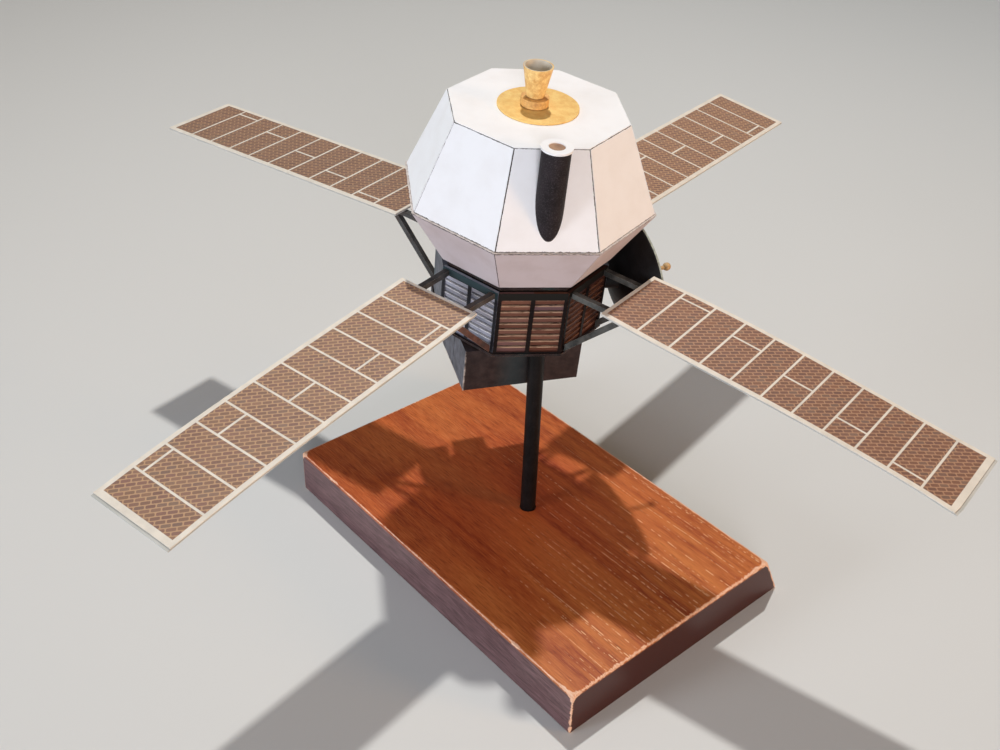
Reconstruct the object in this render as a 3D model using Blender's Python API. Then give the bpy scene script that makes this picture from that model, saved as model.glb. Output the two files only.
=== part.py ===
# Card display model of an eight-sided orbiter with four solar panels,
# glued on a round rod in a wooden board.
# The world's origin is on the floor, under the middle of the rod, with +Z up.
# The satellite has a frame of its own: its origin is in the middle of the
# bus's top, +Z runs up the dome and -Y is its front.
import math

import bmesh
import bpy
from mathutils import Euler, Matrix, Vector

MM = 0.001
FIT = 0.3 * MM  # the glue line that stays between neighbouring pieces
CUT_MARGIN = 1.0 * MM  # how far a guide stands out of the face that it cuts

# board and rod; the board's far long side slants, and the rod isn't in the middle of its top
PLINTH_LENGTH = 147.0 * MM
PLINTH_WIDTH = 90.6 * MM
PLINTH_HEIGHT = 17.1 * MM
PLINTH_EDGE = 0.8 * MM
PLINTH_TURN = math.radians(-57.35)
SLANT_OUT = 8.8 * MM
ROD_OFF_MIDDLE_X = 1.65 * MM
ROD_OFF_MIDDLE_Y = 0.68 * MM
ROD_RADIUS = 2.65 * MM
ROD_SHOWING = 66.0 * MM
ROD_HOLE_DEPTH = 11.0 * MM

# how the satellite sits on its rod
LEAN_BACK = math.radians(4.63)
LEAN_SIDE = math.radians(2.62)
ROD_SEAT_X = 3.9 * MM
ROD_SEAT_Y = -23.6 * MM

# eight-sided body: radii run to the corners
SIDES = 8
BUS_RADIUS = 28.83 * MM
BUS_HEIGHT = 26.4 * MM
NECK_RADIUS = 27.2 * MM
NECK_HEIGHT = 1.9 * MM
FOOT_PLATE = 0.8 * MM
FOOT_OVERHANG = 0.5 * MM
BAY_THICKNESS = 2.0 * MM
BAY_SIDE_FRAME = 1.2 * MM
BAY_MID_BAR = 1.4 * MM
BAY_HEADER = 2.6 * MM
BAY_FOOTER = 0.3 * MM
WINDOW_DEPTH = 1.1 * MM
BLADES = 9
BLADE_SLOT = 0.45 * MM
BLADE_TOP_DEPTH = 0.25 * MM
BLADE_BOTTOM_DEPTH = 0.65 * MM
BLADE_ROOT = 0.25 * MM

# dome: skirt below the widest ring, cover above it, set in a little from the skirt's rim
WIDE_RADIUS = 40.4 * MM
SKIRT_HEIGHT = 19.0 * MM
COVER_INSET = 0.6 * MM
TOP_RADIUS = 28.2 * MM
COVER_HEIGHT = 27.4 * MM

# gold disc, collar and nozzle on the dome
DISC_RADIUS = 12.4 * MM
DISC_THICKNESS = 0.5 * MM
NOZZLE_X = -1.2 * MM
COLLAR_RADIUS = 4.25 * MM
COLLAR_HEIGHT = 2.4 * MM
NOZZLE_ROOT_RADIUS = 2.75 * MM
NOZZLE_MOUTH_RADIUS = 4.5 * MM
NOZZLE_HEIGHT = 9.3 * MM
NOZZLE_WALL = 0.5 * MM
NOZZLE_FLOOR = 1.5 * MM

# tube aerial on the front of the dome, its axis in front of the top's edge
TUBE_RADIUS = 4.25 * MM
TUBE_BEFORE_EDGE = 5.6 * MM
TUBE_ABOVE_DOME = 2.9 * MM
CAP_RADIUS = 4.65 * MM
CAP_HOLE_RADIUS = 2.4 * MM
CAP_THICKNESS = 0.6 * MM

# solar panels and the beams that hold them
PANEL_LENGTH = 113.6 * MM
PANEL_WIDTH = 29.5 * MM
PANEL_THICKNESS = 0.8 * MM
PANEL_FROM_BAY = 14.7 * MM
PANEL_STEPS = 12
BEAM_WIDTH = 1.8 * MM
BEAM_SPREAD = 9.0 * MM
ARM_UNDER_PANEL = 3.0 * MM
BRACE_UNDER_PANEL = 6.5 * MM
BEAM_INSET = 0.4 * MM

# columns: name, azimuth, droop and twist in degrees, height of the inner edge in mm,
# rise of the card between its ends in mm: clockwise edge, then the other edge,
# each with its rise near the inner end and its rise near the outer end
PANELS = (
    ("front_left", -135.7, 5.1, 3.2, -1.3, (0.2, 1.0), (0.2, 1.0)),
    ("front_right", -46.3, 2.4, -1.1, -0.5, (0.0, 1.4), (1.5, 0.0)),
    ("rear_right", 44.1, 1.3, 3.8, -1.3, (0.0, 0.0), (0.0, 0.0)),
    ("rear_left", 135.3, 5.5, -0.2, -1.8, (0.0, 0.0), (0.0, 0.0)),
)
RISE_SCALE = 27 / 4  # the top of s * (1 - s) ** 2 is 4 / 27

# columns: name of the bay, azimuth of its face in degrees, louvered
BAYS = (
    ("front", -90, True),
    ("front_right", -45, True),
    ("right", 0, False),
    ("rear_right", 45, True),
    ("rear", 90, True),
    ("rear_left", 135, True),
    ("left", 180, False),
    ("front_left", -135, True),
)

# dish on the right-hand bay; the place is that of the rim's middle
DISH_RADIUS = 20.7 * MM
DISH_DEPTH = 5.6 * MM
DISH_WALL = 0.8 * MM
DISH_TURN = math.radians(16.2)
DISH_TILT = math.radians(5.4)
DISH_FROM_BAY = 11.2 * MM
DISH_Y = -3.4 * MM
DISH_Z = -11.5 * MM
DISH_RINGS = 6
DISH_SEGMENTS = 48
FEED_REACH = 12.7 * MM
FEED_BALL_RADIUS = 1.4 * MM
FEED_STEM_RADIUS = 0.7 * MM
BALL_STEPS = 8
HUB_RADIUS = 2.6 * MM

# instrument platform under the bus
PLATFORM_TURN = math.radians(9.0)
PLATFORM_X = -19.2 * MM
PLATFORM_ROD_GAP = 0.4 * MM
PLATFORM_WIDTH = 39.7 * MM
PLATFORM_HEIGHT = 15.9 * MM
PLATFORM_FRONT_DEPTH = 13.0 * MM
PLATFORM_REAR_DEPTH = 32.0 * MM

# columns: name, distance from the platform's left side, width, height, length, all in mm
INSTRUMENTS = (
    ("narrow", 5.0, 6.8, 6.8, 8.0),
    ("wide", 14.0, 11.8, 9.0, 9.0),
)
INSTRUMENT_DROP = 3.0 * MM
LENS_MARGIN = 1.3 * MM
LENS_DEPTH = 1.0 * MM

ROUND = 40  # facets round a tube
ROUND_SMALL = 24  # facets round the hub and the feed
SMOOTH = math.radians(38)  # flatter edges than this are shaded smooth

UP = Vector((0, 0, 1))


def clear_scene():
    for thing in list(bpy.data.objects):
        bpy.data.objects.remove(thing, do_unlink=True)


def material(name, colour, roughness, metallic=0.0):
    mat = bpy.data.materials.new(name)
    mat.use_nodes = True
    shader = mat.node_tree.nodes["Principled BSDF"]
    shader.inputs["Base Color"].default_value = (*colour, 1.0)
    shader.inputs["Roughness"].default_value = roughness
    shader.inputs["Metallic"].default_value = metallic
    mat.diffuse_color = (*colour, 1.0)
    return mat


def add_piece(name, shape, mat, parent=None, place=None, smooth=False):
    """Turn a bmesh into the named object, with its faces pointing out."""
    bmesh.ops.recalc_face_normals(shape, faces=shape.faces)
    mesh = bpy.data.meshes.new(name)
    shape.to_mesh(mesh)
    shape.free()
    mesh.materials.append(mat)
    if smooth:
        mesh.shade_smooth()
        mesh.set_sharp_from_angle(angle=SMOOTH)
    thing = bpy.data.objects.new(name, mesh)
    bpy.context.scene.collection.objects.link(thing)
    thing.parent = parent
    if place is not None:
        thing.matrix_local = place
    return thing


def cutter(name, shape, parent=None, place=None):
    """A guide for a Boolean, which isn't part of the model."""
    thing = add_piece(name, shape, material(name, (1, 0, 0), 0.5), parent, place)
    thing.hide_render = True
    thing.display_type = "WIRE"
    return thing


def boolean(thing, tool, operation):
    change = thing.modifiers.new(tool.name, "BOOLEAN")
    change.object = tool
    change.operation = operation
    change.solver = "EXACT"


def ring(radius, z, count, start=0.0, centre=(0.0, 0.0)):
    """Points at equal steps round a circle, counter-clockwise from above."""
    step = 2 * math.pi / count
    return [
        Vector((centre[0] + radius * math.cos(start + step * i),
                centre[1] + radius * math.sin(start + step * i), z))
        for i in range(count)
    ]


def loft(sections):
    """A closed body through rings of equal length, capped at both ends."""
    shape = bmesh.new()
    rows = [[shape.verts.new(p) for p in section] for section in sections]
    count = len(rows[0])
    for low, high in zip(rows, rows[1:]):
        for i in range(count):
            j = (i + 1) % count
            shape.faces.new((low[i], low[j], high[j], high[i]))
    shape.faces.new(list(reversed(rows[0])))
    shape.faces.new(rows[-1])
    return shape


def turned(profile, count):
    """A body of revolution about Z; a profile point is (radius, z), and radius 0 closes it."""
    shape = bmesh.new()
    rows = []
    for radius, z in profile:
        if radius == 0:
            rows.append([shape.verts.new((0, 0, z))])
        else:
            rows.append([shape.verts.new(p) for p in ring(radius, z, count)])
    for low, high in zip(rows, rows[1:]):
        for i in range(count):
            j = (i + 1) % count
            if len(low) == 1:
                shape.faces.new((low[0], high[j], high[i]))
            elif len(high) == 1:
                shape.faces.new((low[i], low[j], high[0]))
            else:
                shape.faces.new((low[i], low[j], high[j], high[i]))
    return shape


def block(low, high):
    """A box between two corners."""
    corners = [
        (low[0], low[1]), (high[0], low[1]), (high[0], high[1]), (low[0], high[1])
    ]
    return loft([[Vector((x, y, z)) for x, y in corners] for z in (low[2], high[2])])


def gather(shapes):
    """Several closed bodies as one shape, for a guide that cuts in many places."""
    whole = bmesh.new()
    for shape in shapes:
        mesh = bpy.data.meshes.new("gathered")
        shape.to_mesh(mesh)
        shape.free()
        whole.from_mesh(mesh)
        bpy.data.meshes.remove(mesh)
    return whole


def octagon(radius, z):
    """The eight-sided outline, with a flat side to the front."""
    return ring(radius, z, SIDES, start=math.pi / SIDES)


def apothem(radius):
    return radius * math.cos(math.pi / SIDES)


def face_frame(azimuth):
    """Frame of a bus face: X along the face, Y into the bus, Z up."""
    return Matrix.Rotation(azimuth + math.pi / 2, 4, "Z")


def plinth_outline():
    """The board's end as (y, z): square, but for the +Y side, which slants out to the floor."""
    half = PLINTH_WIDTH / 2
    return [(-half, PLINTH_HEIGHT), (-half, 0), (half + SLANT_OUT, 0), (half, PLINTH_HEIGHT)]


def make_plinth(mat):
    half = PLINTH_LENGTH / 2
    shape = loft([[Vector((x, y, z)) for y, z in plinth_outline()] for x in (-half, half)])
    place = (Matrix.Rotation(PLINTH_TURN, 4, "Z")
             @ Matrix.Translation((-ROD_OFF_MIDDLE_X, -ROD_OFF_MIDDLE_Y, 0)))
    board = add_piece("plinth", shape, mat, place=place)
    edge = board.modifiers.new("worn edge", "BEVEL")
    edge.width = PLINTH_EDGE
    edge.segments = 2
    edge.limit_method = "ANGLE"
    hole = cutter("rod_hole", loft([
        ring(ROD_RADIUS + FIT, PLINTH_HEIGHT - ROD_HOLE_DEPTH, ROUND),
        ring(ROD_RADIUS + FIT, PLINTH_HEIGHT + CUT_MARGIN, ROUND),
    ]))
    boolean(board, hole, "DIFFERENCE")


def satellite_place():
    """Where the satellite's own frame lies, so that its rod seat is on the rod."""
    turn = Euler((LEAN_BACK, LEAN_SIDE, 0)).to_matrix()
    seat = turn @ Vector((ROD_SEAT_X, ROD_SEAT_Y, -BUS_HEIGHT - FIT))
    rod_top = Vector((0, 0, PLINTH_HEIGHT + ROD_SHOWING))
    return Matrix.Translation(rod_top - seat) @ turn.to_4x4()


def make_rod(mat, sat_place):
    """A dowel whose top is cut to the slope of the bus's underside."""
    low = PLINTH_HEIGHT - ROD_HOLE_DEPTH + FIT
    high = PLINTH_HEIGHT + ROD_SHOWING
    normal = sat_place.to_3x3() @ UP
    top = ring(ROD_RADIUS, high, ROUND)
    for point in top:
        point.z -= (normal.x * point.x + normal.y * point.y) / normal.z
    add_piece("support_rod", loft([ring(ROD_RADIUS, low, ROUND), top]), mat, smooth=True)


def make_bus(mats, sat):
    core_radius = (apothem(BUS_RADIUS) - BAY_THICKNESS - FIT) / math.cos(math.pi / SIDES)
    floor = -BUS_HEIGHT + FOOT_PLATE
    core = loft([
        octagon(core_radius, floor + FIT),
        octagon(core_radius, -NECK_HEIGHT - FIT),
        octagon(NECK_RADIUS, -NECK_HEIGHT - FIT),
        octagon(NECK_RADIUS, -FIT),
    ])
    add_piece("bus_core", core, mats["dark"], sat)
    foot = loft([octagon(BUS_RADIUS + FOOT_OVERHANG, -BUS_HEIGHT),
                 octagon(BUS_RADIUS + FOOT_OVERHANG, floor)])
    add_piece("bus_foot_plate", foot, mats["dark"], sat)


def bay_plate():
    """Frame plate of one bay, mitred at the corners of the bus."""
    outer = apothem(BUS_RADIUS)
    inner = outer - BAY_THICKNESS
    half_out = BUS_RADIUS * math.sin(math.pi / SIDES) - FIT / 2 / math.cos(math.pi / SIDES)
    half_in = half_out - BAY_THICKNESS * math.tan(math.pi / SIDES)
    outline = [(-half_out, -outer), (half_out, -outer), (half_in, -inner), (-half_in, -inner)]
    low, high = bay_span()
    return loft([[Vector((x, y, z)) for x, y in outline] for z in (low, high)])


def bay_span():
    return -BUS_HEIGHT + FOOT_PLATE + FIT, -NECK_HEIGHT - 2 * FIT


def window_span():
    low, high = bay_span()
    return low + BAY_FOOTER, high - BAY_HEADER


def window_columns():
    """Left and right edges of the two windows of a bay."""
    half = BUS_RADIUS * math.sin(math.pi / SIDES) - BAY_SIDE_FRAME
    return (-half, -BAY_MID_BAR / 2), (BAY_MID_BAR / 2, half)


def louver_blade(left, right, low, high):
    """One blade: a strip that leans out at its top edge, rooted in the plate."""
    face = -apothem(BUS_RADIUS)
    root = face + WINDOW_DEPTH + BLADE_ROOT
    outline = [(face + BLADE_BOTTOM_DEPTH, low), (root, low), (root, high),
               (face + BLADE_TOP_DEPTH, high)]
    side = BLADE_ROOT
    return loft([[Vector((x, y, z)) for y, z in outline] for x in (left - side, right + side)])


def louvered_bay(mat):
    """The bay's mesh with its two windows cut and its blades set in."""
    low, high = window_span()
    pitch = (high - low + BLADE_SLOT) / BLADES
    face = -apothem(BUS_RADIUS)
    windows, blades = [], []
    for left, right in window_columns():
        windows.append(block((left, face - CUT_MARGIN, low), (right, face + WINDOW_DEPTH, high)))
        for i in range(BLADES):
            top = high - i * pitch
            blades.append(louver_blade(left, right, top - pitch + BLADE_SLOT, top))
    plate = add_piece("bay_maker", bay_plate(), mat)
    tools = [cutter("windows", gather(windows)), cutter("blades", gather(blades))]
    boolean(plate, tools[0], "DIFFERENCE")
    boolean(plate, tools[1], "UNION")
    graph = bpy.context.evaluated_depsgraph_get()
    mesh = bpy.data.meshes.new_from_object(plate.evaluated_get(graph))
    mesh.materials.clear()
    mesh.materials.append(mat)
    for thing in [plate] + tools:
        bpy.data.objects.remove(thing, do_unlink=True)
    return mesh


def make_bays(mats, sat):
    mesh = louvered_bay(mats["bay"])
    for name, azimuth, has_blades in BAYS:
        place = face_frame(math.radians(azimuth))
        if has_blades:
            bay = bpy.data.objects.new("bay_" + name, mesh)
            bpy.context.scene.collection.objects.link(bay)
            bay.parent = sat
            bay.matrix_local = place
        else:
            add_piece("bay_" + name, bay_plate(), mats["plain"], sat, place)


def make_dome(mats, sat):
    skirt = loft([octagon(BUS_RADIUS, 0), octagon(WIDE_RADIUS, SKIRT_HEIGHT - FIT / 2)])
    add_piece("dome_skirt", skirt, mats["card"], sat)
    cover = loft([octagon(WIDE_RADIUS - COVER_INSET, SKIRT_HEIGHT + FIT / 2),
                  octagon(TOP_RADIUS, SKIRT_HEIGHT + COVER_HEIGHT)])
    add_piece("dome_cover", cover, mats["card"], sat)


def make_nozzle(mats, sat):
    top = SKIRT_HEIGHT + COVER_HEIGHT
    disc_low = top + FIT
    disc_high = disc_low + DISC_THICKNESS
    disc = loft([ring(DISC_RADIUS, disc_low, ROUND), ring(DISC_RADIUS, disc_high, ROUND)])
    add_piece("gold_disc", disc, mats["gold"], sat, smooth=True)
    middle = Matrix.Translation((NOZZLE_X, 0, 0))
    collar_low = disc_high + FIT
    collar_high = collar_low + COLLAR_HEIGHT
    collar = loft([ring(COLLAR_RADIUS, collar_low, ROUND), ring(COLLAR_RADIUS, collar_high, ROUND)])
    add_piece("nozzle_collar", collar, mats["gold"], sat, middle, smooth=True)
    low = collar_high + FIT
    high = low + NOZZLE_HEIGHT
    profile = [(0, low), (NOZZLE_ROOT_RADIUS, low), (NOZZLE_MOUTH_RADIUS, high),
               (NOZZLE_MOUTH_RADIUS - NOZZLE_WALL, high),
               (NOZZLE_ROOT_RADIUS - NOZZLE_WALL, low + NOZZLE_FLOOR), (0, low + NOZZLE_FLOOR)]
    add_piece("nozzle_bell", turned(profile, ROUND), mats["gold"], sat, middle, smooth=True)


def make_tube(mats, sat):
    """The tube's foot follows the slope of the dome's front face."""
    dome_top = SKIRT_HEIGHT + COVER_HEIGHT
    edge_y, rim_y = -apothem(TOP_RADIUS), -apothem(WIDE_RADIUS - COVER_INSET)
    slope = COVER_HEIGHT / (edge_y - rim_y)
    lift = FIT * math.hypot(1, slope)
    tube_top = dome_top + TUBE_ABOVE_DOME
    axis = (0, edge_y - TUBE_BEFORE_EDGE)
    foot = ring(TUBE_RADIUS, 0, ROUND, centre=axis)
    for point in foot:
        point.z = dome_top + (point.y - edge_y) * slope + lift
    head = ring(TUBE_RADIUS, tube_top, ROUND, centre=axis)
    add_piece("antenna_tube", loft([foot, head]), mats["black"], sat, smooth=True)
    low = tube_top + FIT
    high = low + CAP_THICKNESS
    profile = [(CAP_HOLE_RADIUS, low), (CAP_RADIUS, low), (CAP_RADIUS, high), (CAP_HOLE_RADIUS, high)]
    cap = turned(profile, ROUND)
    close_loop(cap)
    add_piece("antenna_cap", cap, mats["card"], sat, Matrix.Translation((*axis, 0)), smooth=True)


def close_loop(shape):
    """Join the first and the last row of a turned body that has a hole through it."""
    edges = [e for e in shape.edges if len(e.link_faces) == 1]
    bmesh.ops.bridge_loops(shape, edges=edges)


def panel_frame(azimuth, droop, twist, height):
    """Frame of a panel: X outwards from its inner edge, Y across, Z off its top."""
    place = Matrix.Rotation(azimuth, 4, "Z")
    place = place @ Matrix.Translation((apothem(BUS_RADIUS) + PANEL_FROM_BAY, 0, height))
    return place @ Matrix.Rotation(droop, 4, "Y") @ Matrix.Rotation(twist, 4, "X")


def edge_rise(x, rise):
    """How far an edge of the curled card stands above the straight line between its ends."""
    share = x / PANEL_LENGTH
    inner, outer = rise
    return RISE_SCALE * share * (1 - share) * (inner * (1 - share) + outer * share) * MM


def panel_top(x, y, rises):
    """A point of a panel's top: the card is straight across, between its two curled edges."""
    right, left = (edge_rise(x, rise) for rise in rises)
    share = y / PANEL_WIDTH + 0.5
    return Vector((x, y, right + (left - right) * share))


def panel_normal(x, y, rises):
    """The direction straight off a panel's top at one point."""
    nudge = PANEL_WIDTH / PANEL_STEPS
    middle = panel_top(x, y, rises)
    along = panel_top(x + nudge, y, rises) - middle
    across = panel_top(x, y + nudge, rises) - middle
    return along.cross(across).normalized()


def make_panel(name, place, rises, mat, sat):
    half = PANEL_WIDTH / 2
    sections = []
    for i in range(PANEL_STEPS + 1):
        x = PANEL_LENGTH * i / PANEL_STEPS
        right, left = panel_top(x, -half, rises), panel_top(x, half, rises)
        down = Vector((0, 0, -PANEL_THICKNESS))
        sections.append([right + down, left + down, left, right])
    add_piece("panel_" + name, loft(sections), mat, sat, place)


def beam(name, start, end, start_normal, end_normal, mat, sat):
    """A square beam along a line, mitred on the planes that it meets."""
    along = (end - start).normalized()
    across = along.cross(UP).normalized()
    lift = across.cross(along)
    half = BEAM_WIDTH / 2
    corners = [start + across * a * half + lift * b * half
               for a, b in ((-1, -1), (1, -1), (1, 1), (-1, 1))]
    sections = []
    for point, normal in ((start, start_normal), (end, end_normal)):
        sections.append([c + along * ((point - c).dot(normal) / along.dot(normal)) for c in corners])
    add_piece(name, loft(sections), mat, sat)


def make_panels(mats, sat):
    for name, azimuth, droop, twist, height, *rises in PANELS:
        place = panel_frame(math.radians(azimuth), math.radians(droop), math.radians(twist), height * MM)
        make_panel(name, place, rises, mats["panel"], sat)
        face_step = 360 / SIDES
        bay_azimuth = math.radians(face_step * round(azimuth / face_step))
        make_beams(name, place, rises, bay_azimuth, mats, sat)


def make_beams(name, place, rises, bay_azimuth, mats, sat):
    """Two arms and two braces from a bus face to the underside of a panel."""
    bay = face_frame(bay_azimuth)
    turn = place.to_3x3()
    bay_out = (bay.to_3x3() @ Vector((0, -1, 0))).normalized()
    panel_out = (turn @ Vector((1, 0, 0))).normalized()
    face = apothem(BUS_RADIUS) + FIT
    low, high = bay_span()
    half = BEAM_WIDTH / 2
    under = PANEL_THICKNESS + FIT
    for side, sign in (("ccw", 1), ("cw", -1)):
        y = sign * BEAM_SPREAD
        arm_start = bay @ Vector((y, -face, high - half - BEAM_INSET))
        arm_end = place @ (panel_top(0, y, rises) + Vector((ARM_UNDER_PANEL, 0, -under - half)))
        beam(f"arm_{name}_{side}", arm_start, arm_end, bay_out, panel_out, mats["beam"], sat)
        brace_start = bay @ Vector((y, -face, low + half + BEAM_INSET))
        brace_end = place @ (panel_top(BRACE_UNDER_PANEL, y, rises) - Vector((0, 0, under)))
        panel_up = (turn @ panel_normal(BRACE_UNDER_PANEL, y, rises)).normalized()
        beam(f"brace_{name}_{side}", brace_start, brace_end, bay_out, panel_up, mats["beam"], sat)


def dish_profile(radius):
    """Depth of the dish below its rim plane."""
    return -DISH_DEPTH * (1 - (radius / DISH_RADIUS) ** 2)


def make_dish(mats, sat):
    wall = apothem(BUS_RADIUS)
    place = (Matrix.Translation((wall + DISH_FROM_BAY, DISH_Y, DISH_Z))
             @ Matrix.Rotation(DISH_TURN, 4, "Z")
             @ Matrix.Rotation(math.pi / 2 - DISH_TILT, 4, "Y"))
    radii = [DISH_RADIUS * i / DISH_RINGS for i in range(DISH_RINGS + 1)]
    back = [(r, dish_profile(r) - DISH_WALL) for r in radii]
    front = [(r, dish_profile(r)) for r in reversed(radii)]
    shape = turned(back + front, DISH_SEGMENTS)
    add_piece("dish_reflector", shape, mats["dish"], sat, place, smooth=True)
    low = -DISH_DEPTH + FIT
    profile = [(0, low), (FEED_STEM_RADIUS, low)]
    start = math.asin(FEED_STEM_RADIUS / FEED_BALL_RADIUS)
    for i in range(BALL_STEPS):
        angle = start + (math.pi - start) * i / BALL_STEPS
        profile.append((FEED_BALL_RADIUS * math.sin(angle), FEED_REACH - FEED_BALL_RADIUS * math.cos(angle)))
    profile.append((0, FEED_REACH + FEED_BALL_RADIUS))
    add_piece("dish_feed", turned(profile, ROUND_SMALL), mats["feed"], sat, place, smooth=True)
    far = [place @ point for point in ring(HUB_RADIUS, -DISH_DEPTH - DISH_WALL - FIT, ROUND_SMALL)]
    near = [Vector((wall + FIT, point.y, point.z)) for point in far]
    add_piece("dish_hub", loft([near, far]), mats["dark"], sat, smooth=True)


def make_platform(mats, sat):
    top = -BUS_HEIGHT - FIT
    low = top - PLATFORM_HEIGHT
    behind_rod = ROD_RADIUS + PLATFORM_ROD_GAP - (ROD_SEAT_X - PLATFORM_X) * math.sin(PLATFORM_TURN)
    front_y = ROD_SEAT_Y + behind_rod / math.cos(PLATFORM_TURN)
    place = Matrix.Translation((PLATFORM_X, front_y, 0)) @ Matrix.Rotation(PLATFORM_TURN, 4, "Z")
    split = PLATFORM_FRONT_DEPTH
    rear = split + FIT
    back = rear + PLATFORM_REAR_DEPTH
    for name, near, far in (("platform_front", 0, split), ("platform_rear", rear, back)):
        add_piece(name, block((0, near, low), (PLATFORM_WIDTH, far, top)), mats["platform"], sat, place)
    high = top - INSTRUMENT_DROP
    near = back + FIT
    for name, offset, width, height, length in INSTRUMENTS:
        left, right = offset * MM, (offset + width) * MM
        bottom, far = high - height * MM, near + length * MM
        body = add_piece("instrument_" + name, block((left, near, bottom), (right, far, high)),
                         mats["dark"], sat, place)
        lens = block((left + LENS_MARGIN, far - LENS_DEPTH, bottom + LENS_MARGIN),
                     (right - LENS_MARGIN, far + CUT_MARGIN, high - LENS_MARGIN))
        boolean(body, cutter("lens_" + name, lens, sat, place), "DIFFERENCE")


def make_materials():
    return {
        "wood": material("board wood", (0.36, 0.10, 0.035), 0.42),
        "rod": material("rod black", (0.012, 0.012, 0.012), 0.45),
        "card": material("dome card", (0.80, 0.74, 0.70), 0.75),
        "gold": material("gold card", (0.55, 0.34, 0.10), 0.38, 0.6),
        "black": material("tube black", (0.012, 0.011, 0.011), 0.6),
        "dark": material("bus dark card", (0.035, 0.028, 0.028), 0.6),
        "bay": material("bay card", (0.12, 0.055, 0.035), 0.55),
        "plain": material("plain bay card", (0.10, 0.115, 0.14), 0.55),
        "panel": material("panel card", (0.32, 0.15, 0.09), 0.6),
        "beam": material("beam card", (0.10, 0.10, 0.105), 0.6),
        "dish": material("dish black", (0.012, 0.012, 0.012), 0.5),
        "feed": material("feed tan", (0.50, 0.36, 0.20), 0.6),
        "platform": material("platform card", (0.03, 0.025, 0.028), 0.5),
    }


def main():
    clear_scene()
    mats = make_materials()
    sat = bpy.data.objects.new("satellite", None)
    bpy.context.scene.collection.objects.link(sat)
    sat.matrix_world = satellite_place()
    make_plinth(mats["wood"])
    make_rod(mats["rod"], satellite_place())
    make_bus(mats, sat)
    make_bays(mats, sat)
    make_dome(mats, sat)
    make_nozzle(mats, sat)
    make_tube(mats, sat)
    make_panels(mats, sat)
    make_dish(mats, sat)
    make_platform(mats, sat)


main()
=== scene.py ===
# %% [markdown]
# # A card model spacecraft on its wooden board
# The real object is a hand-made model: folded and printed card, glued together, on a
# black dowel in a varnished board. The solids come ready made and stay where they are.
# This script gives them their finish, and adds the thin card, torn edges and print
# that a solid can't have. It starts with the solids, because everything else is
# measured from them.

# %% Load the model
import math
from functools import partial

import bmesh
import bpy
from mathutils import Euler, Matrix, Vector, noise


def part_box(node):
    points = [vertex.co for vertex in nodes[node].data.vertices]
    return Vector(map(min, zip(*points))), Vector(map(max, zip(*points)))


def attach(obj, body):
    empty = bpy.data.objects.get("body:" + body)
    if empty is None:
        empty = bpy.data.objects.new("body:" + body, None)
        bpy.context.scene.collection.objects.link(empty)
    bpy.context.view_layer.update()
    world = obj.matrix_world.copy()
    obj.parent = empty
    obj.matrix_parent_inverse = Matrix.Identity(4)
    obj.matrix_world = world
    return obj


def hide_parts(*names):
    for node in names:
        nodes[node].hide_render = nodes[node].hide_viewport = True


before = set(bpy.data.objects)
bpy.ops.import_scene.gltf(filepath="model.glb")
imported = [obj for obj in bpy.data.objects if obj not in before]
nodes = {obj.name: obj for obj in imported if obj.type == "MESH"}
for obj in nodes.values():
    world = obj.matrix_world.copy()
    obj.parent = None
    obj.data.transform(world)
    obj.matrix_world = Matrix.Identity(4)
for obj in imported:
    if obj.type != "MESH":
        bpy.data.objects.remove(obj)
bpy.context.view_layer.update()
MM = 0.001
print("solids:", len(nodes))

# %% [markdown]
# ## Camera
# A long lens from far away flattens a model, and a short one from close by makes the
# near panels large. This picture was taken from about 40 cm with a lens a little
# under normal, so the near panels spread towards the viewer. Place, turn and lens
# were solved from the corners of the model, so they are set as numbers.

# %% Camera
CAMERA_PLACE = Vector((-59.6, -303.7, 285.4)) * MM
CAMERA_TURN = (55.493, -1.744, -7.765)
CAMERA_LENS = 41.384


def in_scene(name, data):
    """A new object in the scene."""
    made = bpy.data.objects.new(name, data)
    bpy.context.scene.collection.objects.link(made)
    return made


camera_data = bpy.data.cameras.new("camera")
camera_data.lens = CAMERA_LENS
camera_data.sensor_width = 36.0
camera_data.clip_start = 0.01
camera = in_scene("camera", camera_data)
camera.location = CAMERA_PLACE
camera.rotation_euler = Euler([math.radians(angle) for angle in CAMERA_TURN])
bpy.context.scene.camera = camera
bpy.context.scene.view_settings.view_transform = "Standard"
print("camera", round((CAMERA_PLACE - Vector((0, 0, 0.1))).length, 3), "m from the model")

# %% [markdown]
# ## Colours
# Colours are read from a screen, where they are written from 0 to 255 and already
# hold the screen's curve. The renderer counts light, so each value is turned back
# into an amount of light before it goes into a material.


# %% Colours
def seen(painted_shade_under_model, green, blue):
    """A colour as a screen shows it, as amounts of light."""
    shares = [value / 255 for value in (painted_shade_under_model, green, blue)]
    return tuple(s / 12.92 if s <= 0.04045 else ((s + 0.055) / 1.055) ** 2.4 for s in shares)


print("mid grey", [round(c, 3) for c in seen(128, 128, 128)])

# %% [markdown]
# ## Steps of a material
# A material is a chain of small steps, and making and linking one by hand takes four
# lines. These helpers take a value or another step's result for each input and give
# back the result, so that a finish reads from top to bottom like a sum.


# %% Steps of a material
def tree_of(values):
    """The node tree that these results belong to."""
    return next(value.id_data for value in values if isinstance(value, bpy.types.NodeSocket))


def put(socket, value):
    """Link a node's result to a socket, or set the socket."""
    if isinstance(value, bpy.types.NodeSocket):
        socket.id_data.links.new(value, socket)
    elif socket.type == "RGBA" and len(value) == 3:
        socket.default_value = (*value, 1.0)
    else:
        socket.default_value = value


def step(kind, inputs, tree=None, **settings):
    """One node; inputs are by name or by number, and one without inputs needs its tree."""
    made = (tree or tree_of(inputs.values())).nodes.new("ShaderNode" + kind)
    for name, value in settings.items():
        setattr(made, name, value)
    for name, value in inputs.items():
        put(made.inputs[name], value)
    return made.outputs


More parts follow.
